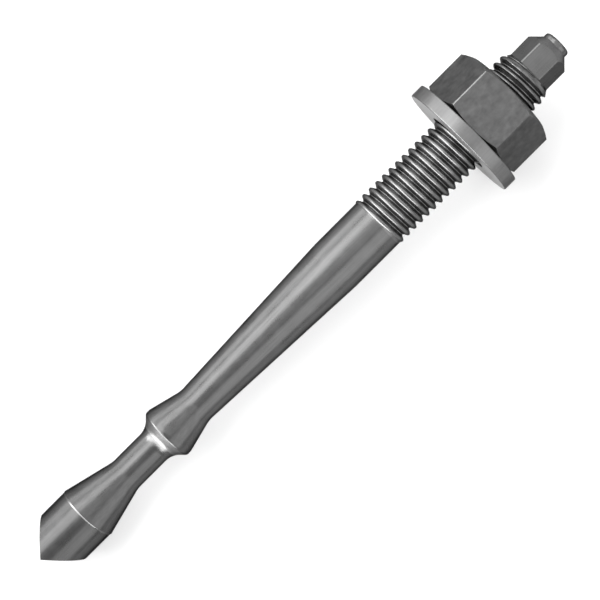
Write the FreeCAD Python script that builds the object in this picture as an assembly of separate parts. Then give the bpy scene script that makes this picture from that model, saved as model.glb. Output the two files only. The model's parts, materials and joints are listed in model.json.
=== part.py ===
import FreeCAD, Part
import math
import os

# Anchor rod M10 with its washer and nut, in millimetres.
# The rod is drawn along +X with the ridge of its chisel tip at X = 0, and is laid down at the end.
# Each radius below is half of a diameter that can be measured with a calliper.

# Chisel tip: a round head with two flats that meet in a ridge
TIP_D = 10.2
TIP_LENGTH = 10.35
TIP_ANGLE = 98.0
RIDGE_RADIUS = 0.5
TIP_SHOULDER_RADIUS = 5.3

# Neck behind the tip, reached by a slow cone and left by a steep shoulder
TIP_CONE_ANGLE = 14.1
NECK_D = 6.02
NECK_LENGTH = 7.75
NECK_BLEND_RADIUS = 5.0
SHOULDER_ANGLE = 45.0
SHOULDER_FILLET = 3.0

# Collar between the neck and the waist
COLLAR_D = 9.6
COLLAR_LENGTH = 0.85
COLLAR_EDGE_RADIUS = 0.15
COLLAR_CONE_ANGLE = 14.3
COLLAR_CONE_RADIUS = 1.2

# Waist and the long wedge-shaped taper up to the plain shank
WAIST_D = 6.68
WAIST_BLEND_RADIUS = 4.4
TAPER_ANGLE = 2.55
SHANK_D = 9.57
SHANK_LENGTH = 9.5

# Thread, drawn at its outer diameter
THREAD_D = 10.0
THREAD_PITCH = 1.5
THREAD_LENGTH = 34.5
THREAD_START_CHAMFER = 0.2
THREAD_END_CHAMFER_ANGLE = 40.0

# Hexagon that the setting tool drives, and the nub on its end
DRIVE_FLATS = 7.15
DRIVE_LENGTH = 4.15
DRIVE_CONE_ANGLE = 45.0
NUB_D = 4.8
NUB_LENGTH = 1.0
NUB_ROOT_RADIUS = 0.15
NUB_EDGE_RADIUS = 0.5

# Flat washer
WASHER_D = 21.5
WASHER_THICKNESS = 2.4
WASHER_EDGE_RADIUS = 0.2
WASHER_PLAY = 0.5

# Hexagon nut
NUT_FLATS = 17.0
NUT_HEIGHT = 8.95
NUT_CHAMFER_ANGLE = 22.0
NUT_FACE_SHARE = 0.95
NUT_PLAY = 0.05
NUT_COUNTERSINK = 0.4

# Free thread between the shank and the washer, where the fixed plate goes
FREE_THREAD = 18.5

# Sizes that follow from the ones above
TIP_R = TIP_D / 2
NECK_R = NECK_D / 2
COLLAR_R = COLLAR_D / 2
WAIST_R = WAIST_D / 2
SHANK_R = SHANK_D / 2
THREAD_R = THREAD_D / 2
NUB_R = NUB_D / 2
WASHER_R = WASHER_D / 2
DRIVE_CORNER_R = DRIVE_FLATS / 2 / math.cos(math.pi / 6)
NUT_CORNER_R = NUT_FLATS / 2 / math.cos(math.pi / 6)
WASHER_BORE_R = THREAD_R + WASHER_PLAY
NUT_BORE_R = THREAD_R + NUT_PLAY


def cone_length(large_r, small_r, angle):
    """Length along the axis of a cone whose side leans by an angle to the axis."""
    return (large_r - small_r) / math.tan(math.radians(angle))


# Stations along the rod, each the place of one corner of the outline before it is rounded
TIP_CORNER = TIP_LENGTH
NECK_START = TIP_CORNER + cone_length(TIP_R, NECK_R, TIP_CONE_ANGLE)
NECK_END = NECK_START + NECK_LENGTH
COLLAR_START = NECK_END + cone_length(COLLAR_R, NECK_R, SHOULDER_ANGLE)
COLLAR_END = COLLAR_START + COLLAR_LENGTH
WAIST = COLLAR_END + cone_length(COLLAR_R, WAIST_R, COLLAR_CONE_ANGLE)
SHANK_START = WAIST + cone_length(SHANK_R, WAIST_R, TAPER_ANGLE)
THREAD_START = SHANK_START + SHANK_LENGTH
THREAD_END = THREAD_START + THREAD_LENGTH
THREAD_CHAMFER = THREAD_END - cone_length(THREAD_R, DRIVE_CORNER_R, THREAD_END_CHAMFER_ANGLE)
DRIVE_END = THREAD_END + DRIVE_LENGTH
NUB_START = DRIVE_END + cone_length(DRIVE_CORNER_R, NUB_R, DRIVE_CONE_ANGLE)
ROD_LENGTH = NUB_START + NUB_LENGTH

WASHER_FACE = THREAD_START + FREE_THREAD
NUT_FACE = WASHER_FACE + WASHER_THICKNESS
NUT_TOP = NUT_FACE + NUT_HEIGHT


def rounded_outline(corners):
    """Edges through (x, radius, rounding) corners, with a tangent arc at each rounded one."""
    edges = []
    last = FreeCAD.Vector(corners[0][0], corners[0][1], 0)
    for before, here, after in zip(corners, corners[1:], corners[2:]):
        corner = FreeCAD.Vector(here[0], here[1], 0)
        back = (FreeCAD.Vector(before[0], before[1], 0) - corner).normalize()
        ahead = (FreeCAD.Vector(after[0], after[1], 0) - corner).normalize()
        half_angle = back.getAngle(ahead) / 2
        if here[2] == 0:
            edges.append(Part.LineSegment(last, corner).toShape())
            last = corner
            continue
        reach = here[2] / math.tan(half_angle)
        start = corner + back * reach
        end = corner + ahead * reach
        inward = (back + ahead).normalize()
        middle = corner + inward * (here[2] / math.sin(half_angle) - here[2])
        edges.append(Part.LineSegment(last, start).toShape())
        edges.append(Part.Arc(start, middle, end).toShape())
        last = end
    edges.append(Part.LineSegment(last, FreeCAD.Vector(corners[-1][0], corners[-1][1], 0)).toShape())
    return edges


def turned(corners):
    """Solid of revolution about X of an outline that starts and ends on the axis, or is closed."""
    edges = rounded_outline(corners)
    first, last = corners[0], corners[-1]
    if first[:2] != last[:2]:
        on_axis_end = FreeCAD.Vector(last[0], last[1], 0)
        on_axis_start = FreeCAD.Vector(first[0], first[1], 0)
        edges.append(Part.LineSegment(on_axis_end, on_axis_start).toShape())
    face = Part.Face(Part.Wire(edges))
    return face.revolve(FreeCAD.Vector(0, 0, 0), FreeCAD.Vector(1, 0, 0), 360)


def hexagon_prism(flats, start, length):
    """Hexagonal prism along X with one pair of flats facing up and down."""
    corner_r = flats / 2 / math.cos(math.pi / 6)
    points = []
    for i in range(7):
        angle = math.radians(60 * i)
        points.append(FreeCAD.Vector(start, corner_r * math.cos(angle), corner_r * math.sin(angle)))
    face = Part.Face(Part.Wire(Part.makePolygon(points)))
    return face.extrude(FreeCAD.Vector(length, 0, 0))


def chisel_roof():
    """Prism that keeps what lies behind the two flats of the tip and the rounded ridge between them."""
    half_angle = math.radians(TIP_ANGLE / 2)
    clear_r = 2 * max(TIP_R, COLLAR_R, SHANK_R, THREAD_R)
    # the flats meet ahead of the rounded ridge, which itself stands at X = 0
    apex = RIDGE_RADIUS - RIDGE_RADIUS / math.sin(half_angle)
    far = apex + clear_r / math.tan(half_angle)
    end = ROD_LENGTH + clear_r
    corners = [(end, -clear_r, 0), (far, -clear_r, 0), (apex, 0, RIDGE_RADIUS), (far, clear_r, 0),
               (end, clear_r, 0)]
    edges = rounded_outline(corners)
    edges.append(Part.LineSegment(FreeCAD.Vector(end, clear_r, 0), FreeCAD.Vector(end, -clear_r, 0)).toShape())
    prism = Part.Face(Part.Wire(edges)).extrude(FreeCAD.Vector(0, 0, 2 * clear_r))
    prism.translate(FreeCAD.Vector(0, 0, -clear_r))
    return prism


def anchor_rod():
    """Rod in one piece: chisel tip, neck, collar, taper, shank, thread, hexagon drive and nub."""
    blank = turned([
        (0, 0, 0),
        (0, TIP_R, 0),
        (TIP_CORNER, TIP_R, TIP_SHOULDER_RADIUS),
        (NECK_START, NECK_R, NECK_BLEND_RADIUS),
        (NECK_END, NECK_R, SHOULDER_FILLET),
        (COLLAR_START, COLLAR_R, COLLAR_EDGE_RADIUS),
        (COLLAR_END, COLLAR_R, COLLAR_CONE_RADIUS),
        (WAIST, WAIST_R, WAIST_BLEND_RADIUS),
        (SHANK_START, SHANK_R, 0),
        (THREAD_START, SHANK_R, 0),
        (THREAD_START + THREAD_START_CHAMFER, THREAD_R, 0),
        (THREAD_CHAMFER, THREAD_R, 0),
        (THREAD_END, DRIVE_CORNER_R, 0),
        (DRIVE_END, DRIVE_CORNER_R, 0),
        (NUB_START, NUB_R, NUB_ROOT_RADIUS),
        (ROD_LENGTH, NUB_R, NUB_EDGE_RADIUS),
        (ROD_LENGTH, 0, 0),
    ])
    # the six flats are milled from the thread's end to the nub
    flats_length = ROD_LENGTH - THREAD_END
    around = Part.makeCylinder(THREAD_R, flats_length, FreeCAD.Vector(THREAD_END, 0, 0),
                               FreeCAD.Vector(1, 0, 0))
    milled = around.cut(hexagon_prism(DRIVE_FLATS, THREAD_END, flats_length))
    return blank.cut(milled).common(chisel_roof())


def flat_washer():
    """Washer with rounded outer edges and a bore that clears the thread."""
    edge = WASHER_EDGE_RADIUS
    return turned([
        (WASHER_FACE, WASHER_BORE_R, 0),
        (WASHER_FACE, WASHER_R, edge),
        (NUT_FACE, WASHER_R, edge),
        (NUT_FACE, WASHER_BORE_R, 0),
        (WASHER_FACE, WASHER_BORE_R, 0),
    ])


def hexagon_nut():
    """Nut chamfered at both ends, with a countersink at each mouth of its bore."""
    face_r = NUT_FACE_SHARE * NUT_FLATS / 2
    chamfer = (NUT_CORNER_R - face_r) * math.tan(math.radians(NUT_CHAMFER_ANGLE))
    mouth_r = NUT_BORE_R + NUT_COUNTERSINK
    round_blank = turned([
        (NUT_FACE, mouth_r, 0),
        (NUT_FACE, face_r, 0),
        (NUT_FACE + chamfer, NUT_CORNER_R, 0),
        (NUT_TOP - chamfer, NUT_CORNER_R, 0),
        (NUT_TOP, face_r, 0),
        (NUT_TOP, mouth_r, 0),
        (NUT_TOP - NUT_COUNTERSINK, NUT_BORE_R, 0),
        (NUT_FACE + NUT_COUNTERSINK, NUT_BORE_R, 0),
        (NUT_FACE, mouth_r, 0),
    ])
    return round_blank.common(hexagon_prism(NUT_FLATS, NUT_FACE, NUT_HEIGHT))


def lying_placement(pieces):
    """Lay the rod on the lower end of its ridge and the rounded rim of its washer.

    The floor is the line from the ridge's lower end that touches the washer's rounded edge.
    """
    rise = WASHER_R - WASHER_EDGE_RADIUS - TIP_R
    run = WASHER_FACE + WASHER_EDGE_RADIUS
    tilt = math.atan2(rise, run) + math.asin(WASHER_EDGE_RADIUS / math.hypot(rise, run))
    turn = FreeCAD.Rotation(FreeCAD.Vector(0, 1, 0), -math.degrees(tilt))
    tilted = Part.makeCompound(pieces)
    tilted.Placement = FreeCAD.Placement(FreeCAD.Vector(0, 0, 0), turn)
    box = tilted.BoundBox
    middle = (box.XMin + box.XMax) / 2
    lift = TIP_R * math.cos(tilt)
    print("tilt in degrees", round(math.degrees(tilt), 4), "ridge at", round(-middle, 4), round(lift, 4))
    return FreeCAD.Placement(FreeCAD.Vector(-middle, 0, lift), turn)


def main():
    os.makedirs("parts", exist_ok=True)
    pieces = {"anchor_rod": anchor_rod(), "flat_washer": flat_washer(), "hexagon_nut": hexagon_nut()}
    lying = lying_placement(list(pieces.values()))
    for name, piece in pieces.items():
        piece.Placement = lying
        piece.exportStep("parts/" + name + ".step")
        print(name, piece.isValid(), len(piece.Solids), round(piece.Volume, 3), "mm3")
    print("thread from", round(THREAD_START, 3), "to", round(THREAD_END, 3), "rod", round(ROD_LENGTH, 3))


main()
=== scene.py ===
"""Anchor rod with its washer and nut: visual pieces, steel finishes, light and camera."""
import json
import math

import bmesh
import bpy
from bpy.props import FloatProperty, FloatVectorProperty, PointerProperty
from bpy.types import Operator, Panel, PropertyGroup
from mathutils import Matrix, Vector


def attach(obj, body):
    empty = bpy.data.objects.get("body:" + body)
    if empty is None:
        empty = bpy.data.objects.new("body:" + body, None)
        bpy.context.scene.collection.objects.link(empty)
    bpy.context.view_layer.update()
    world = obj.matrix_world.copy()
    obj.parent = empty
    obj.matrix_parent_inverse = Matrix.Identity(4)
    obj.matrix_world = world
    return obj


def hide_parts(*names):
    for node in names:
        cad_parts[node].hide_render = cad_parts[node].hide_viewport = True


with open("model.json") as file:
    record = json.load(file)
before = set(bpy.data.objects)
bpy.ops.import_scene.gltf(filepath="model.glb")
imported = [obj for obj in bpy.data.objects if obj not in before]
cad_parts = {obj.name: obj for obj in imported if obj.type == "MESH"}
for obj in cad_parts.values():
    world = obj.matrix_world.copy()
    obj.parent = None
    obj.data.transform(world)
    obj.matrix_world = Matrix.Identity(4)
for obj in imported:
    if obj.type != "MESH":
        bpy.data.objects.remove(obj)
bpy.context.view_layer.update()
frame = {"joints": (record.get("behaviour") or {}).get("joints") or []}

bl_info = {
    "name": "Anchor Rod",
    "version": (1, 0, 0),
    "blender": (4, 5, 0),
    "location": "View3D > Sidebar > Anchor Rod",
    "description": "Models an anchor rod with its washer and nut, gives them steel finishes and lights them",
    "category": "Add Mesh",
}

MM = 0.001
TURN = 2 * math.pi
# Turn from one corner of a hexagon to the next
SIXTH = TURN / 6
# Steps of a full spin: a multiple of six, so that a column stands on each corner of a hexagon
STEPS = 120
# Points closer than this are one point, and measures that differ by less than NEAR are equal
MERGE, NEAR = 1e-7, 1e-6
# An edge that bends more than this is crisp
CREASE = math.radians(32)

# The pieces are modelled along +X with the ridge of the chisel tip at X = 0, then laid down.
# The slide joint runs along the rod, so its axis gives the tilt of the lying rod.
ROD_AXIS = Vector(next(j["axis"] for j in frame["joints"] if j["name"] == "washer_slide")).normalized()
TILT = math.atan2(ROD_AXIS.z, ROD_AXIS.x)
# Where the rod's axis starts, at the ridge, when the rod lies on the floor
RIDGE_X, RIDGE_Z = -58.8632 * MM, 5.0911 * MM

# Angles in degrees: the outline's cones with the axis, from the head to the taper
HEAD_CONE, SHOULDER_CONE, COLLAR_CONE, TAPER_CONE = 14.1, 45, 14.3, 2.55
# Half the angle between the two flats of the chisel tip
TIP_HALF_ANGLE = 49
# Half the angle between two flanks of the thread, and the slope of the chamfer that ends it
FLANK_ANGLE, THREAD_CHAMFER = 30, 36
# Slopes of the nut's chamfers, towards the washer and towards the free end
NUT_CHAMFER_LOW, NUT_CHAMFER_HIGH = 22, 27

# The chisel tip lies within this length
TIP_ZONE = 6 * MM
# The rounded ridge stands this far behind X = 0, as in the photo
RIDGE_BACK = 0.15 * MM
# The fine ring stands this far ahead of the end of the head, and drifts back this far on the near side
RING_LEAD, RING_DRIFT = 0.52 * MM, 0.45 * MM
# Widths of the rounding on the tip's rim, the drive's corners and the edges of the nut's chamfers
RIM_WIDTH, DRIVE_EDGE, CHAMFER_EDGE = 0.12 * MM, 0.16 * MM, 0.08 * MM
# Edges that bend by more degrees than this: the tip's rim, its rounding, and the nut's chamfers
RIM_BEND, FACET_BEND, CHAMFER_BEND = 38, 8, 18
# Shank and thread are modelled apart: one ends and the other starts this far ahead of the thread
SHANK_STOP, THREAD_LEAD = 0.7 * MM, 0.4 * MM
# Gaps that are bridged between the thread and the hexagon, and between the nut's shell and its thread
DRIVE_GAP, NUT_GAP = 0.01 * MM, 0.02 * MM
# Tiny step that keeps a limit off the points that stand on it
HAIR = 0.001 * MM

# Softboxes stand this far from the middle of the object, in metres
SOFTBOX_DISTANCE = 0.8
# Plain light that the floor adds where the camera or the metal sees it
FLOOR_LIFT = 0.33
# Camera: distance and place of the target along and across the rod in millimetres, angles in degrees
CAMERA_DISTANCE, TARGET_ALONG, TARGET_ACROSS = 337.6, 59.10, 0.08
CAMERA_LEAN, CAMERA_TURN = 2.08, 44.977
# Width of the sensor in millimetres, and focal length and picture in pixels
SENSOR, FOCAL_PIXELS, PICTURE = 36, 2074.9, 600


def srgb(code):
    """Linear colour from an sRGB hex value such as #6A6A6A."""
    parts = [int(code[i:i + 2], 16) / 255 for i in (1, 3, 5)]
    return [c / 12.92 if c <= 0.04045 else ((c + 0.055) / 1.055) ** 2.4 for c in parts]


def length(name, millimetres, description):
    """Length property shown in the scene's units, with its default given in millimetres."""
    return FloatProperty(name=name, description=description, default=millimetres * MM, min=0,
                         precision=5, subtype="DISTANCE", unit="LENGTH")


def tint(name, code, description):
    """Colour property with its default given as an sRGB hex value."""
    return FloatVectorProperty(name=name, description=description, default=srgb(code), size=3,
                               min=0, max=1, subtype="COLOR")


def brightness(name, radiance, description):
    """Property for the plain radiance of a light."""
    return FloatProperty(name=name, description=description, default=radiance, min=0)


class RodSizes(PropertyGroup):
    """Sizes of the rod that a user would change."""
    tip_d: length("Tip Diameter", 10.2, "Diameter of the round head behind the chisel tip")
    tip_length: length("Tip Length", 10.35, "From the ridge to the end of the round head")
    ridge_radius: length("Ridge Radius", 0.5, "Rounding of the ridge between the two flats of the tip")
    die_line: length("Die Line", 0.08, "Height of the fine ring left on the head by the forging die")
    neck_d: length("Neck Diameter", 6.02, "Diameter of the neck behind the head")
    neck_length: length("Neck Length", 7.75, "Length of the neck between its two corners")
    collar_d: length("Collar Diameter", 9.6, "Diameter of the collar between neck and waist")
    collar_length: length("Collar Length", 0.85, "Length of the collar's rim")
    waist_d: length("Waist Diameter", 6.68, "Smallest diameter between the collar and the taper")
    shank_d: length("Shank Diameter", 9.57, "Diameter of the plain shank ahead of the thread")
    shank_length: length("Shank Length", 9.5, "Length of the plain shank")
    thread_d: length("Thread Diameter", 10.0, "Outer diameter of the thread")
    thread_pitch: length("Thread Pitch", 1.5, "Advance of the thread in one turn")
    thread_length: length("Thread Length", 34.5, "From the shank to the hexagon")
    crest_radius: length("Crest Radius", 0.4, "Rounding of the rolled crests")
    root_radius: length("Root Radius", 0.15, "Rounding at the bottom of the groove")
    drive_flats: length("Drive Flats", 7.15, "Distance across the flats of the small hexagon")
    drive_length: length("Drive Length", 4.15, "Length of the small hexagon ahead of its cone")
    nub_d: length("Nub Diameter", 4.8, "Diameter of the nub on the end of the hexagon")
    nub_length: length("Nub Length", 1.0, "Length of the nub")
    steel: tint("Rod Steel", "#595959", "Colour of the rod's drawn and oiled steel")


class WasherSizes(PropertyGroup):
    """Sizes of the washer that a user would change."""
    outer_d: length("Outer Diameter", 21.5, "Outer diameter of the washer")
    bore_d: length("Bore Diameter", 11.0, "Diameter of the washer's bore")
    thickness: length("Thickness", 2.4, "Thickness of the washer")
    edge_radius: length("Edge Radius", 0.2, "Rounding of the washer's outer edges")
    place: length("Free Thread", 18.5, "Free thread between the shank and the washer")
    steel: tint("Washer Steel", "#676767", "Colour of the washer's brushed steel")


class NutSizes(PropertyGroup):
    """Sizes of the nut that a user would change."""
    flats: length("Flats", 17.0, "Distance across the nut's flats")
    height: length("Height", 8.95, "Height of the nut")
    face_d: length("Face Diameter", 16.15, "Diameter of the flat round face that the chamfer leaves")
    edge_radius: length("Edge Width", 0.15, "Width that the rounding takes off each flat at a corner")
    thread_play: length("Thread Play", 0.05, "Gap between the nut's thread and the rod's thread")
    mouth_d: length("Mouth Diameter", 10.9, "Diameter of the countersink at each face")
    steel: tint("Nut Steel", "#545454", "Colour of the nut's cold-formed steel")


class StudioSettings(PropertyGroup):
    """Light and floor that a user would change."""
    left_light: brightness("Left Light", 4.6, "Brightness of the large softbox on the far side")
    right_light: brightness("Right Light", 1.8, "Brightness of the softbox on the near side")
    top_light: brightness("Top Light", 1.25, "Brightness of the softbox over the nut")
    tip_light: brightness("Tip Light", 10.5, "Brightness of the small softbox beyond the tip")
    end_light: brightness("End Light", 1.7, "Brightness of the small softbox beyond the thread's end")
    world_light: brightness("Room Light", 0.6, "Brightness of the room around the softboxes")
    floor: tint("Floor", "#CBCBCB", "Colour of the floor")


def slope_of(degrees):
    """Rise of a line for each unit that it runs."""
    return math.tan(math.radians(degrees))


def corner_radius(flats):
    """Radius of a hexagon's corners from the distance across its flats."""
    return flats / 2 / math.cos(math.pi / 6)


def radius_of(co):
    """Distance of a point from the rod's axis."""
    return math.hypot(co.y, co.z)


def angle_round(co):
    """Angle of a point about the rod's axis, from the +Y side towards the top."""
    return math.atan2(co.z, co.y)


def set_radius(vert, radius):
    """Move a vertex straight in or out to a radius about the rod's axis."""
    now = radius_of(vert.co)
    vert.co.y *= radius / now
    vert.co.z *= radius / now


def smooth(low, high, value):
    """Soft step from 0 to 1 between two values."""
    t = min(1, max(0, (value - low) / (high - low)))
    return t * t * (3 - 2 * t)


def rounded_line(bm, corners, segments=6):
    """Wire through (x, radius, rounding) corners, each rounded with a vertex bevel."""
    line = [bm.verts.new((x, r, 0)) for x, r, _ in corners]
    for pair in zip(line, line[1:]):
        bm.edges.new(pair)
    for before, here, after, corner in zip(corners, corners[1:], corners[2:], line[1:]):
        if here[2] == 0:
            continue
        back = Vector((before[0] - here[0], before[1] - here[1]))
        ahead = Vector((after[0] - here[0], after[1] - here[1]))
        reach = here[2] / math.tan(back.angle(ahead) / 2)
        bmesh.ops.bevel(bm, geom=[corner], offset=reach, offset_type="OFFSET", segments=segments,
                        profile=0.5, affect="VERTICES", material=-1)


def spin_round(bm):
    """Turn the whole wire once about the rod's axis and close the seam and the poles."""
    bmesh.ops.spin(bm, geom=bm.verts[:] + bm.edges[:], cent=(0, 0, 0), axis=(1, 0, 0),
                   angle=TURN, steps=STEPS, use_merge=True)
    bmesh.ops.remove_doubles(bm, verts=bm.verts, dist=MERGE)


def thread_surface(bm, pitch, top_r, crest_radius, root_radius, crest_x, turns):
    """Screw a line of rounded crests and roots once round, so that it meets itself a pitch further on.

    crest_x is where the first crest stands on the +Y side.
    """
    depth = pitch / 2 / slope_of(FLANK_ANGLE)
    corners = [(crest_x - pitch / 2, top_r - depth, 0), (crest_x, top_r, crest_radius),
               (crest_x + pitch / 2, top_r - depth, root_radius), (crest_x + pitch, top_r, 0)]
    rounded_line(bm, corners)
    # one pitch is kept, between two flanks that lean the same way
    flank = 0.36 * pitch
    for x, way in ((crest_x - flank, -1), (crest_x - flank + pitch, 1)):
        bmesh.ops.bisect_plane(bm, geom=bm.verts[:] + bm.edges[:], dist=MERGE, plane_co=(x, 0, 0),
                               plane_no=(way, 0, 0), clear_outer=True)
    one = bm.verts[:] + bm.edges[:]
    for turn in range(1, turns):
        copied = bmesh.ops.duplicate(bm, geom=one)["geom"]
        bmesh.ops.translate(bm, verts=[g for g in copied if isinstance(g, bmesh.types.BMVert)],
                            vec=(turn * pitch, 0, 0))
    bmesh.ops.remove_doubles(bm, verts=bm.verts, dist=MERGE)
    bmesh.ops.spin(bm, geom=bm.verts[:] + bm.edges[:], cent=(0, 0, 0), axis=(1, 0, 0),
                   dvec=(pitch / STEPS, 0, 0), angle=TURN, steps=STEPS)
    # the last step meets the first to within a micrometre
    bmesh.ops.remove_doubles(bm, verts=bm.verts, dist=NEAR)


def cut(bm, point, normal):
    """Cut the mesh off beyond a plane and give back the edges of the cut."""
    found = bmesh.ops.bisect_plane(bm, geom=bm.verts[:] + bm.edges[:] + bm.faces[:], dist=MERGE,
                                   plane_co=point, plane_no=normal, clear_outer=True)
    return [e for e in found["geom_cut"] if isinstance(e, bmesh.types.BMEdge)]


def rim_at(bm, x):
    """Open edges that stand in the plane across the axis at x."""
    return [e for e in bm.edges if e.is_boundary and all(abs(v.co.x - x) < 2 * NEAR for v in e.verts)]


def join_rims(bm, x_before, x_after):
    """Bridge the two open rims that face each other."""
    bmesh.ops.bridge_loops(bm, edges=rim_at(bm, x_before) + rim_at(bm, x_after))


def press_flats(bm, flats, start, end, slope_at):
    """Press six flats into the round blank between two places; points on a cone slide along it.

    slope_at gives how far along the axis a point goes for each unit that it moves in.
    """
    for vert in bm.verts:
        if not start < vert.co.x < end:
            continue
        radius = radius_of(vert.co)
        turned = angle_round(vert.co) % SIXTH - SIXTH / 2
        reach = flats / 2 / math.cos(turned)
        if radius > reach:
            set_radius(vert, reach)
            vert.co.x += slope_at(vert.co.x) * (radius - reach)


def soften(bm, edges, width, segments):
    """Round edges with an edge bevel and give back the faces of the rounding."""
    if not edges:
        raise RuntimeError("no edges to round")
    return bmesh.ops.bevel(bm, geom=edges, offset=width, offset_type="OFFSET", segments=segments,
                           profile=0.5, affect="EDGES", material=-1, clamp_overlap=True)["faces"]


def on_corner(edge, radius):
    """True for an edge along the axis that stands on a corner of a hexagon."""
    return all(abs(radius_of(v.co) - radius) < NEAR
               and abs((angle_round(v.co) / SIXTH + 0.5) % 1 - 0.5) < 1e-4 for v in edge.verts)


def is_flat(normal):
    """True for a normal that points straight out of one of the six flats of a hexagon."""
    turned = (math.atan2(normal.z, normal.y) / SIXTH) % 1
    return abs(normal.x) < 1e-3 and abs(turned - 0.5) < 1e-3


def is_end(normal):
    """True for a normal that points along the axis."""
    return abs(normal.x) > 0.9999


def is_chamfer(normal):
    """True for a normal of a chamfer or a cone."""
    return 0.3 < abs(normal.x) < 0.98


def mark_plane(bm, test):
    """Mark as plane the faces that pass a test on their middle and normal."""
    layer = bm.faces.layers.int.new("plane")
    for face in bm.faces:
        face.normal_update()
        if test(face.calc_center_median(), face.normal):
            face[layer] = 1


def mark_tone_and_painted_light(bm, level_of):
    """Give each face the tone, mostly painted light or shade, that suits its middle and normal, with 0 for
    the plain colour.
    """
    tone_and_painted_light = bm.faces.layers.float.new("tone_and_painted_light")
    for face in bm.faces:
        face[tone_and_painted_light] = level_of(face.calc_center_median(), face.normal)


def add_mesh(bm, parts):
    """Join finished parts, given as meshes, into one."""
    for part in parts:
        bm.from_mesh(part)
        bpy.data.meshes.remove(part)


def as_mesh(bm):
    """Store a part of a piece as a mesh and free it."""
    mesh = bpy.data.meshes.new("part")
    bm.to_mesh(mesh)
    bm.free()
    return mesh


def finish_piece(name, bm, material, body, node):
    """Close a piece, turn its faces outwards, lay it down and let it stand for its CAD node."""
    bmesh.ops.remove_doubles(bm, verts=bm.verts, dist=MERGE)
    bmesh.ops.dissolve_degenerate(bm, edges=bm.edges, dist=MERGE)
    bmesh.ops.recalc_face_normals(bm, faces=bm.faces)
    if bm.calc_volume(signed=True) < 0:
        bmesh.ops.reverse_faces(bm, faces=bm.faces)
    open_edges = [e for e in bm.edges if not e.is_manifold]
    if open_edges:
        where = sorted({round(e.verts[0].co.x / MM, 2) for e in open_edges})
        raise RuntimeError(f"{name} is not closed: {len(open_edges)} edges near {where[:8]}")
    for edge in bm.edges:
        edge.smooth = edge.smooth and edge.calc_face_angle(0) < CREASE
    plane = bm.faces.layers.int["plane"]
    for face in bm.faces:
        # broad plane faces are shaded flat, so that the rounding beside them doesn't bend their light
        face.smooth = not face[plane]
    lay = Matrix.Translation((RIDGE_X, 0, RIDGE_Z)) @ Matrix.Rotation(-TILT, 4, "Y")
    bmesh.ops.transform(bm, matrix=lay, verts=bm.verts)
    mesh = bpy.data.meshes.new(name)
    bm.to_mesh(mesh)
    bm.free()
    mesh.materials.append(material)
    piece = bpy.data.objects.new(name, mesh)
    bpy.context.scene.collection.objects.link(piece)
    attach(piece, body)
    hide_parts(node)


def node(tree, kind, links=(), **settings):
    """Add a node, set its properties by name, then set or link its sockets by name or number."""
    made = tree.nodes.new(kind)
    for name, value in settings.items():
        setattr(made, name, value)
    for name, source in dict(links).items():
        socket = made.inputs[name]
        if isinstance(source, bpy.types.NodeSocket):
            tree.links.new(source, socket)
        else:
            socket.default_value = source
    return made


def new_material(name):
    """Empty node material, given with its node tree."""
    material = bpy.data.materials.new(name)
    material.use_nodes = True
    material.node_tree.nodes.clear()
    return material, material.node_tree


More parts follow.
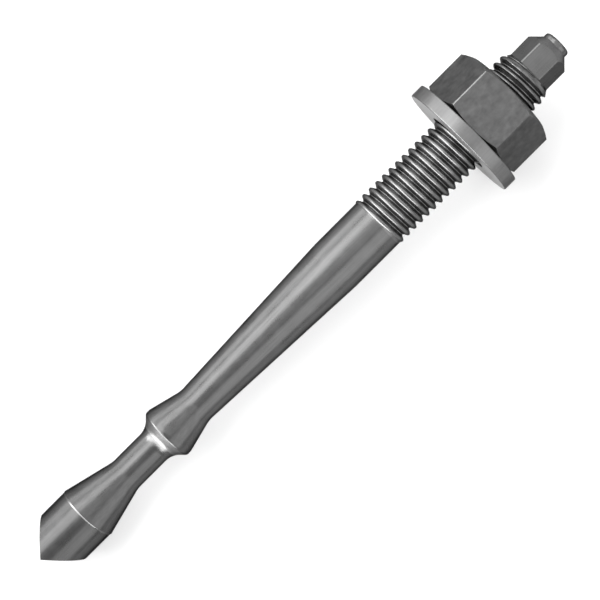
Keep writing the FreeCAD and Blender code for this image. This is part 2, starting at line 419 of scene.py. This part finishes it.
def steel(name, colour, roughness, streak_mm, grain_mm, contrast, relief_mm, specular, painted_shade_end=1.0):
    """Metal with drawing streaks along the rod, cloudy patches and a fine grain.

    streak_mm is the width and length of a streak, grain_mm the size of the patches, contrast how far
    the colour strays from its mean and relief_mm the depth of the streaks. specular is the colour at
    a grazing look, and painted_shade_end how much of the colour is left at the forged end, as painted shade.
    """
    material, tree = new_material(name)
    place = node(tree, "ShaderNodeTexCoord").outputs["Object"]
    # the pattern's x axis is turned to lie along the rod, and a streak is drawn out along it
    along = node(tree, "ShaderNodeMapping", {"Vector": place, "Rotation": (0, TILT, 0)},
                 vector_type="POINT").outputs["Vector"]
    width, reach = streak_mm
    drawn = node(tree, "ShaderNodeMapping", {"Vector": along, "Scale": (width / reach, 1, 1)},
                 vector_type="POINT").outputs["Vector"]
    streaks = node(tree, "ShaderNodeTexNoise", {
        "Vector": drawn, "Scale": 1 / (width * MM), "Detail": 2.0, "Roughness": 0.55}).outputs["Fac"]
    clouds = node(tree, "ShaderNodeTexNoise", {
        "Vector": along, "Scale": 1 / (grain_mm * MM), "Detail": 3.0, "Roughness": 0.5}).outputs["Fac"]
    both = node(tree, "ShaderNodeMix", {"Factor": 0.45, "A": streaks, "B": clouds},
                data_type="FLOAT").outputs["Result"]
    # the middle of the noise carries the whole range of the colour
    shade = node(tree, "ShaderNodeValToRGB", {"Fac": both})
    ends = ((0.3, 1 - contrast), (0.7, 1 + contrast))
    for element, (position, share) in zip(shade.color_ramp.elements, ends):
        element.position = position
        element.color = (*(min(1, c * share) for c in colour), 1)
    # painted shade: the colour darkens towards the forged end, and the shade fades out over the first 60 mm
    place_along = node(tree, "ShaderNodeSeparateXYZ", {"Vector": along}).outputs["X"]
    scale = node(tree, "ShaderNodeMapRange", {
        "Value": place_along, "From Min": -55 * MM, "From Max": 5 * MM,
        "To Min": painted_shade_end, "To Max": 1.0}).outputs["Result"]
    # painted light and shade, with some tone: a face marked 1 has 1.7 times the colour, and the same rule
    # goes on above 1 and below 0
    mark = node(tree, "ShaderNodeAttribute", attribute_name="tone_and_painted_light").outputs["Fac"]
    tone_and_painted_light = node(tree, "ShaderNodeMapRange", {"Value": mark, "To Min": 1.0, "To Max": 1.7},
                  clamp=False).outputs["Result"]
    level = node(tree, "ShaderNodeMath", {0: scale, 1: tone_and_painted_light}, operation="MULTIPLY").outputs[0]
    base = node(tree, "ShaderNodeHueSaturation", {
        "Color": shade.outputs["Color"], "Value": level}).outputs["Color"]
    # the patches are a little duller or glossier than the mean
    rough = node(tree, "ShaderNodeMapRange", {
        "Value": clouds, "From Min": 0.3, "From Max": 0.7,
        "To Min": roughness - 0.03, "To Max": roughness + 0.03}).outputs["Result"]
    bump = node(tree, "ShaderNodeBump", {
        "Height": streaks, "Strength": 0.6, "Distance": relief_mm * MM}).outputs["Normal"]
    shader = node(tree, "ShaderNodeBsdfPrincipled", {
        "Base Color": base, "Metallic": 1.0, "Roughness": rough,
        "Specular Tint": (*srgb(specular), 1), "Normal": bump})
    node(tree, "ShaderNodeOutputMaterial", {"Surface": shader.outputs["BSDF"]})
    return material


def stations(rod):
    """Places of the outline's corners along the rod, from the ridge."""
    def cone(large, small, angle):
        return (large - small) / 2 / slope_of(angle)

    at = {"tip": rod.tip_length}
    at["neck"] = at["tip"] + cone(rod.tip_d, rod.neck_d, HEAD_CONE)
    at["neck_end"] = at["neck"] + rod.neck_length
    at["collar"] = at["neck_end"] + cone(rod.collar_d, rod.neck_d, SHOULDER_CONE)
    at["collar_end"] = at["collar"] + rod.collar_length
    at["waist"] = at["collar_end"] + cone(rod.collar_d, rod.waist_d, COLLAR_CONE)
    at["shank"] = at["waist"] + cone(rod.shank_d, rod.waist_d, TAPER_CONE)
    at["thread"] = at["shank"] + rod.shank_length
    at["drive"] = at["thread"] + rod.thread_length
    at["drive_end"] = at["drive"] + rod.drive_length
    at["nub"] = at["drive_end"] + (corner_radius(rod.drive_flats) - rod.nub_d / 2)
    at["end"] = at["nub"] + rod.nub_length
    # crest of the thread on the +Y side, as it stands in the photo
    at["crest"] = at["thread"] + 0.18 * MM
    return at


def threaded(rod, at, play, first, turns):
    """Thread surface of the rod, or of the nut when there is play, with its crests in phase.

    first is the number of the first crest, counted from the one at the shank.
    """
    bm = bmesh.new()
    thread_surface(bm, rod.thread_pitch, rod.thread_d / 2 + rod.crest_radius, rod.crest_radius,
                   rod.root_radius, at["crest"] + first * rod.thread_pitch, turns)
    high = max(radius_of(v.co) for v in bm.verts)
    for vert in bm.verts:
        set_radius(vert, radius_of(vert.co) + rod.thread_d / 2 + play - high)
    return bm


def front_of_rod(rod, at):
    """Chisel tip, neck, collar, taper and shank."""
    bm = bmesh.new()
    tip_r = rod.tip_d / 2
    ring = at["tip"] - RING_LEAD
    rounded_line(bm, [
        # the blank stands ahead of the ridge, and the two flats take its end off
        (-1 * MM, 0, 0),
        (-1 * MM, tip_r, 0),
        # fine ring where the two halves of the forging die end
        (ring - 0.28 * MM, tip_r, 0.1 * MM),
        (ring - 0.12 * MM, tip_r + rod.die_line * 0.4, 0.05 * MM),
        (ring, tip_r + rod.die_line, 0.05 * MM),
        (ring + 0.25 * MM, tip_r, 0.3 * MM),
        (at["tip"] + 0.15 * MM, tip_r - 0.1 * MM, 6 * MM),
        (at["neck"], rod.neck_d / 2, 5 * MM),
        (at["neck_end"], rod.neck_d / 2, 3 * MM),
        (at["collar"], rod.collar_d / 2, 0.6 * MM),
        (at["collar_end"], rod.collar_d / 2, 1.2 * MM),
        (at["waist"], rod.waist_d / 2, 4.4 * MM),
        (at["shank"], rod.shank_d / 2, 20 * MM),
        (at["thread"] - SHANK_STOP, rod.shank_d / 2, 0),
    ])
    spin_round(bm)

    def level_of(middle, normal):
        # painted highlight: the ring, which stands proud of the head, is brighter than the head
        if -0.2 * MM < middle.x - ring < 0.1 * MM:
            return 0.7
        # painted highlight: the shoulder, a forged face, is brighter
        if at["neck_end"] + 0.25 * MM < middle.x < at["collar"] - 0.2 * MM:
            return 1
        return 0

    mark_tone_and_painted_light(bm, level_of)
    for vert in bm.verts:
        # the die halves met a little askew, so the ring runs off towards the neck on the near side
        if abs(vert.co.x - ring) < 0.8 * MM:
            vert.co.x += RING_DRIFT * max(0, -vert.co.y / tip_r) ** 2
    press_chisel(bm, rod)
    return as_mesh(bm)


def press_chisel(bm, rod):
    """Cut the two flats of the chisel tip and round the ridge and the rim between them and the head."""
    half_angle = math.radians(TIP_HALF_ANGLE)
    apex = RIDGE_BACK + rod.ridge_radius - rod.ridge_radius / math.sin(half_angle)
    # the near flat was struck a little deeper, which puts the ridge off the axis
    off_axis = 0.02 * MM * math.tan(half_angle)
    for side in (1, -1):
        rim = cut(bm, (apex, off_axis, 0), (-math.sin(half_angle), side * math.cos(half_angle), 0))
        bmesh.ops.holes_fill(bm, edges=rim, sides=0)
    ridge = [e for e in bm.edges
             if all(abs(v.co.y - off_axis) < NEAR and abs(v.co.x - apex) < NEAR for v in e.verts)]
    soften(bm, ridge, rod.ridge_radius * math.tan(math.pi / 2 - half_angle), 8)
    rim = [e for e in bm.edges if e.calc_face_angle(0) > math.radians(RIM_BEND)
           and all(v.co.x < TIP_ZONE for v in e.verts)]
    soften(bm, rim, RIM_WIDTH, 3)
    for edge in bm.edges:
        # the rounded rim is crisp, so that it doesn't bend the light on the long head beside it
        if all(v.co.x < TIP_ZONE for v in edge.verts) and edge.calc_face_angle(0) > math.radians(FACET_BEND):
            edge.smooth = False
    mark_plane(bm, lambda middle, normal: middle.x < TIP_ZONE and abs(normal.z) < 1e-4
               and abs(abs(normal.y) - math.cos(half_angle)) < 1e-4)


def thread_of_rod(rod, at):
    """Rolled thread that grows out of the shank and ends in a chamfer at the hexagon."""
    # a few turns more than the thread has, which are cut off at both ends
    bm = threaded(rod, at, play=0, first=-2, turns=27)
    pitch, shank_r, top_r = rod.thread_pitch, rod.shank_d / 2, rod.thread_d / 2
    corner_r = corner_radius(rod.drive_flats)
    slope = slope_of(THREAD_CHAMFER)
    for vert in bm.verts:
        radius = radius_of(vert.co)
        turn = angle_round(vert.co) / TURN
        phase = (vert.co.x - at["crest"]) / pitch - turn
        crest_x = at["crest"] + (round(phase) + turn) * pitch
        groove_x = at["crest"] + (math.floor(phase) + 0.5 + turn) * pitch
        # the first crest rises out of the shank, and the first groove deepens after it
        if radius > shank_r:
            grown = smooth(at["thread"] - 0.25 * MM, at["thread"] + 0.15 * MM, crest_x)
        else:
            grown = smooth(at["thread"] + 0.35 * MM, at["thread"] + 0.9 * MM, groove_x)
        radius = shank_r + (radius - shank_r) * grown
        chamfer = corner_r + (at["drive"] - vert.co.x) * slope
        # the edge between a crest and the chamfer is rounded, up to 0.5 mm wide, and crisp at the hexagon
        wide = min(0.5 * MM, max(0.01 * MM, 0.6 * (chamfer - corner_r)))
        blend = min(1, max(0, 0.5 + (chamfer - radius) / wide))
        radius = chamfer + (radius - chamfer) * blend - wide / 2 * blend * (1 - blend)
        set_radius(vert, max(corner_r, min(radius, chamfer, top_r)))
    cut(bm, (at["thread"] - THREAD_LEAD, 0, 0), (-1, 0, 0))
    cut(bm, (at["drive"], 0, 0), (1, 0, 0))

    def level_of(middle, normal):
        # painted light: the thread is brighter than the shank, and brighter still in its grooves, which
        # lifts their shade
        if middle.x <= at["thread"]:
            return 0
        # painted shade darkens the corner at the hexagon
        if middle.x > at["drive"] - 0.3 * MM:
            return -0.5
        return 0.35 if radius_of(middle) > top_r - 0.3 * MM else 0.75

    mark_tone_and_painted_light(bm, level_of)
    return as_mesh(bm)


def drive_of_rod(rod, at):
    """Small hexagon that the setting tool drives, its cone and the nub."""
    bm = bmesh.new()
    corner_r = corner_radius(rod.drive_flats)
    rounded_line(bm, [
        (at["drive"] + DRIVE_GAP, corner_r, 0),
        (at["drive"] + 3 * DRIVE_GAP, corner_r, 0),
        (at["drive_end"], corner_r, 0),
        (at["nub"], rod.nub_d / 2, 0.15 * MM),
        (at["end"], rod.nub_d / 2, 0.5 * MM),
        (at["end"], 0, 0),
    ])
    spin_round(bm)
    press_flats(bm, rod.drive_flats, at["drive"] + 2 * DRIVE_GAP, at["drive_end"] + HAIR,
                lambda x: 1 if x > at["drive_end"] - HAIR else 0)
    long_edges = [e for e in bm.edges if on_corner(e, corner_r) and e.calc_length() > rod.drive_length / 2]
    soften(bm, long_edges, DRIVE_EDGE, 3)
    mark_plane(bm, lambda middle, normal: is_flat(normal) and middle.x < at["drive_end"] + 0.6 * MM)

    def level_of(middle, normal):
        # the turned cone is brighter, and painted shade darkens the milled flats on the near side
        if is_chamfer(normal) and middle.x < at["nub"]:
            return 0.5
        if middle.x < at["drive_end"] and middle.y < -0.3 * rod.drive_flats:
            return -0.35
        return 0

    mark_tone_and_painted_light(bm, level_of)
    return as_mesh(bm)


def shell_of_nut(nut, low, high):
    """Outside of the nut between its two faces, open at the thread."""
    corner_r, face_r, mouth_r = corner_radius(nut.flats), nut.face_d / 2, nut.mouth_d / 2
    slope_low, slope_high = slope_of(NUT_CHAMFER_LOW), slope_of(NUT_CHAMFER_HIGH)
    chamfer_low, chamfer_high = (corner_r - face_r) * slope_low, (corner_r - face_r) * slope_high
    bm = bmesh.new()
    rounded_line(bm, [(low, mouth_r, 0), (low, face_r, 0), (low + chamfer_low, corner_r, 0),
                      (high - chamfer_high, corner_r, 0), (high, face_r, 0), (high, mouth_r, 0)])
    spin_round(bm)
    half_way = (low + high) / 2
    press_flats(bm, nut.flats, low + HAIR, high - HAIR, lambda x: slope_high if x > half_way else -slope_low)
    tone_and_painted_light = bm.faces.layers.float.new("tone_and_painted_light")
    corners = [e for e in bm.edges if on_corner(e, corner_r) and e.calc_length() > nut.height / 2]
    for face in soften(bm, corners, nut.edge_radius, 3):
        # painted highlight: every other rounded corner is marked bright, so that these edges glint
        face[tone_and_painted_light] = round(angle_round(face.calc_center_median()) / SIXTH) % 2
    creases = [e for e in bm.edges if e.calc_face_angle(0) > math.radians(CHAMFER_BEND)
               and not (low + chamfer_low * 1.2 < e.verts[0].co.x < high - chamfer_high * 1.2)
               and all(radius_of(v.co) > face_r - 0.1 * MM for v in e.verts)]
    soften(bm, creases, CHAMFER_EDGE, 2)
    mark_plane(bm, lambda middle, normal: is_end(normal) or is_flat(normal))
    for face in bm.faces:
        # the chamfers were turned after forging, so they are brighter
        if is_chamfer(face.normal):
            face[tone_and_painted_light] = 1
    return as_mesh(bm)


def thread_of_nut(nut, rod, at, low, high):
    """Inner thread that keeps its play outside the rod's thread and opens in a cone at each face."""
    mouth_r = nut.mouth_d / 2
    bm = threaded(rod, at, play=nut.thread_play, first=11, turns=11)
    for vert in bm.verts:
        inside = min(vert.co.x - low, high - vert.co.x)
        set_radius(vert, max(radius_of(vert.co), mouth_r - inside if inside > 0 else mouth_r))
    cut(bm, (low, 0, 0), (-1, 0, 0))
    cut(bm, (high, 0, 0), (1, 0, 0))
    for x, away in ((low, 1), (high, -1)):
        for vert in {v for e in rim_at(bm, x) for v in e.verts}:
            vert.co.x += away * NUT_GAP
    return as_mesh(bm)


class ANCHOR_OT_rod(Operator):
    """Model the anchor rod in one piece from tip to nub"""
    bl_idname = "anchor.rod"
    bl_label = "Anchor Rod"

    def execute(self, context):
        rod = context.scene.anchor_rod
        at = stations(rod)
        bm = bmesh.new()
        add_mesh(bm, [front_of_rod(rod, at), thread_of_rod(rod, at), drive_of_rod(rod, at)])
        join_rims(bm, at["thread"] - SHANK_STOP, at["thread"] - THREAD_LEAD)
        join_rims(bm, at["drive"], at["drive"] + DRIVE_GAP)
        # drawn carbon steel, blackened by its mill finish and wiped with oil: streaks 14 mm long
        # and a third of a millimetre wide over patches of 2.5 mm, so it glints softly along its length
        # painted shade: the forged end is darkened to three quarters of the colour
        material = steel("drawn_oiled_steel", rod.steel, roughness=0.29, streak_mm=(0.35, 14),
                         grain_mm=2.5, contrast=0.15, relief_mm=0.005, specular="#8A8A8A", painted_shade_end=0.75)
        finish_piece("anchor_rod_piece", bm, material, "rod", "anchor_rod")
        return {"FINISHED"}


class ANCHOR_OT_washer(Operator):
    """Model the flat washer with its rounded edges"""
    bl_idname = "anchor.washer"
    bl_label = "Flat Washer"

    def execute(self, context):
        washer = context.scene.anchor_washer
        low = stations(context.scene.anchor_rod)["thread"] + washer.place
        high = low + washer.thickness
        bm = bmesh.new()
        # the loop starts and ends inside a face, so that all four of its corners can be rounded
        inside_face = washer.bore_d / 2 + 1 * MM
        rounded_line(bm, [
            (low, inside_face, 0),
            (low, washer.outer_d / 2, washer.edge_radius),
            (high, washer.outer_d / 2, washer.edge_radius),
            (high, washer.bore_d / 2, 0.12 * MM),
            (low, washer.bore_d / 2, 0.12 * MM),
            (low, inside_face, 0),
        ])
        bmesh.ops.remove_doubles(bm, verts=bm.verts, dist=MERGE)
        spin_round(bm)
        mark_plane(bm, lambda middle, normal: is_end(normal))
        # painted reflection: the faces are much brighter than the sheared rim
        mark_tone_and_painted_light(bm, lambda middle, normal: 3 if is_end(normal) else 0)
        # blanked strip steel, its rim brushed by the punch: short streaks across the rim, 3 mm by 0.3 mm,
        # which break its highlight up into a satin band
        material = steel("brushed_washer_steel", washer.steel, roughness=0.38, streak_mm=(0.3, 3),
                         grain_mm=2.0, contrast=0.12, relief_mm=0.006, specular="#989898")
        finish_piece("flat_washer_piece", bm, material, "washer", "flat_washer")
        return {"FINISHED"}


class ANCHOR_OT_nut(Operator):
    """Model the hexagon nut with its chamfers and its inner thread"""
    bl_idname = "anchor.nut"
    bl_label = "Hexagon Nut"

    def execute(self, context):
        nut, washer, rod = context.scene.anchor_nut, context.scene.anchor_washer, context.scene.anchor_rod
        at = stations(rod)
        low = at["thread"] + washer.place + washer.thickness
        high = low + nut.height
        bm = bmesh.new()
        add_mesh(bm, [thread_of_nut(nut, rod, at, low, high), shell_of_nut(nut, low, high)])
        join_rims(bm, low, low + NUT_GAP)
        join_rims(bm, high, high - NUT_GAP)
        # cold-formed steel, tumbled after forming: patches of 1.6 mm and dents rather than streaks,
        # so its flats look cloudy and a little duller than the rod
        material = steel("tumbled_nut_steel", nut.steel, roughness=0.38, streak_mm=(0.8, 1.2),
                         grain_mm=1.6, contrast=0.24, relief_mm=0.004, specular="#848484")
        finish_piece("hexagon_nut_piece", bm, material, "nut", "hexagon_nut")
        return {"FINISHED"}


def softbox(name, toward, width, height, radiance):
    """Rectangular softbox in a direction from the object, facing it, with a plain radiance."""
    light = bpy.data.lights.new(name, "AREA")
    light.shape = "RECTANGLE"
    light.size, light.size_y = width, height
    light.energy = radiance * math.pi * width * height
    lamp = bpy.data.objects.new(name, light)
    direction = Vector(toward).normalized()
    lamp.location = direction * SOFTBOX_DISTANCE
    # a softbox lies with its long side level, so its own Y points up as far as it can
    lamp.rotation_euler = direction.to_track_quat("Z", "Y").to_euler()
    bpy.context.scene.collection.objects.link(lamp)
    return lamp


def add_floor(scene, colour):
    """Plain square floor, 6 m wide, that passes for the white background."""
    bm = bmesh.new()
    bmesh.ops.create_grid(bm, x_segments=1, y_segments=1, size=3.0)
    mesh = bpy.data.meshes.new("studio_floor")
    bm.to_mesh(mesh)
    bm.free()
    floor = bpy.data.objects.new("studio_floor", mesh)
    scene.collection.objects.link(floor)
    # matt painted board: white to the eye and in the metal, and it keeps the object's shadow
    material, tree = new_material("matt_white_board")
    path = node(tree, "ShaderNodeLightPath").outputs
    seen = path["Is Camera Ray"]
    for ray in ("Is Glossy Ray", "Is Transmission Ray"):
        seen = node(tree, "ShaderNodeMath", {0: seen, 1: path[ray]}, operation="MAXIMUM").outputs[0]
    lift = node(tree, "ShaderNodeMath", {0: seen, 1: FLOOR_LIFT}, operation="MULTIPLY").outputs[0]
    shader = node(tree, "ShaderNodeBsdfPrincipled", {
        "Base Color": (*colour, 1), "Roughness": 0.9, "Specular IOR Level": 0.0,
        "Emission Color": (1, 1, 1, 1), "Emission Strength": lift})
    node(tree, "ShaderNodeOutputMaterial", {"Surface": shader.outputs["BSDF"]})
    floor.data.materials.append(material)


def add_lights(scene, studio):
    """Softboxes around the object and the light of the room."""
    softbox("softbox_left_high", (-0.15, 0.60, 0.80), 1.2, 0.50, studio.left_light)
    softbox("softbox_left_low", (-0.2, 0.98, 0.22), 1.2, 0.42, studio.left_light * 0.78)
    softbox("softbox_right", (0, -0.78, 0.62), 0.8, 0.78, studio.right_light)
    softbox("softbox_top", (0.25, 0, 1), 0.5, 0.78, studio.top_light)
    # only the metal shows these two, as glints, so that the floor keeps its plain level
    softbox("softbox_tip", (-0.95, 0.13, 0.31), 2.0, 0.52, studio.tip_light).visible_diffuse = False
    softbox("softbox_end", (0.85, 0, 0.53), 1.2, 0.4, studio.end_light).visible_diffuse = False

    world = bpy.data.worlds.new("studio_room")
    world.use_nodes = True
    tree = world.node_tree
    tree.nodes.clear()
    back = node(tree, "ShaderNodeBackground", {"Color": (1, 1, 1, 1), "Strength": studio.world_light})
    node(tree, "ShaderNodeOutputWorld", {"Surface": back.outputs["Background"]})
    scene.world = world


def add_camera(scene):
    """Camera that looks down on the lying rod, with the rod along the picture's diagonal."""
    side = Vector((0, -1, 0))
    up_from_rod = ROD_AXIS.cross(Vector((0, 1, 0)))
    start = Vector((RIDGE_X, 0, RIDGE_Z))
    target = start + ROD_AXIS * TARGET_ALONG * MM - side * TARGET_ACROSS * MM
    lean, turn = math.radians(CAMERA_LEAN), math.radians(CAMERA_TURN)
    back = up_from_rod * math.cos(lean) + ROD_AXIS * math.sin(lean)
    along = ROD_AXIS * math.cos(lean) - up_from_rod * math.sin(lean)
    right = along * math.cos(turn) + side * math.sin(turn)
    up = along * math.sin(turn) - side * math.cos(turn)
    data = bpy.data.cameras.new("photo_camera")
    data.sensor_fit = "HORIZONTAL"
    data.sensor_width = SENSOR
    data.lens = SENSOR * FOCAL_PIXELS / PICTURE
    data.clip_start = 0.01
    camera = bpy.data.objects.new("photo_camera", data)
    pose = Matrix((right, up, back)).transposed().to_4x4()
    pose.translation = target + back * CAMERA_DISTANCE * MM
    camera.matrix_world = pose
    scene.collection.objects.link(camera)
    scene.camera = camera


class ANCHOR_OT_studio(Operator):
    """Set the floor, the softboxes, the room's light and the camera"""
    bl_idname = "anchor.studio"
    bl_label = "Studio"

    def execute(self, context):
        scene = context.scene
        add_floor(scene, scene.anchor_studio.floor)
        add_lights(scene, scene.anchor_studio)
        scene.view_settings.view_transform = "Standard"
        add_camera(scene)
        return {"FINISHED"}


class ANCHOR_PT_panel(Panel):
    """Lists the operators and the sizes and colours they use"""
    bl_idname = "ANCHOR_PT_panel"
    bl_label = "Anchor Rod"
    bl_space_type = "VIEW_3D"
    bl_region_type = "UI"
    bl_category = "Anchor Rod"

    def draw(self, context):
        for group in GROUPS:
            box = self.layout.box()
            settings = getattr(context.scene, group)
            for name in settings.bl_rna.properties.keys():
                if name not in {"rna_type", "name"}:
                    box.prop(settings, name)
            box.operator(group.replace("_", "."))


GROUPS = {"anchor_rod": RodSizes, "anchor_washer": WasherSizes, "anchor_nut": NutSizes,
          "anchor_studio": StudioSettings}
CLASSES = (*GROUPS.values(), ANCHOR_OT_rod, ANCHOR_OT_washer, ANCHOR_OT_nut, ANCHOR_OT_studio,
           ANCHOR_PT_panel)


def register():
    """Add the classes and the settings."""
    for item in CLASSES:
        bpy.utils.register_class(item)
    for name, group in GROUPS.items():
        setattr(bpy.types.Scene, name, PointerProperty(type=group))


def unregister():
    """Take the settings and the classes away."""
    for name in GROUPS:
        delattr(bpy.types.Scene, name)
    for item in reversed(CLASSES):
        bpy.utils.unregister_class(item)


def main():
    register()
    bpy.ops.anchor.rod()
    bpy.ops.anchor.washer()
    bpy.ops.anchor.nut()
    bpy.ops.anchor.studio()


if __name__ == "__main__":
    main()
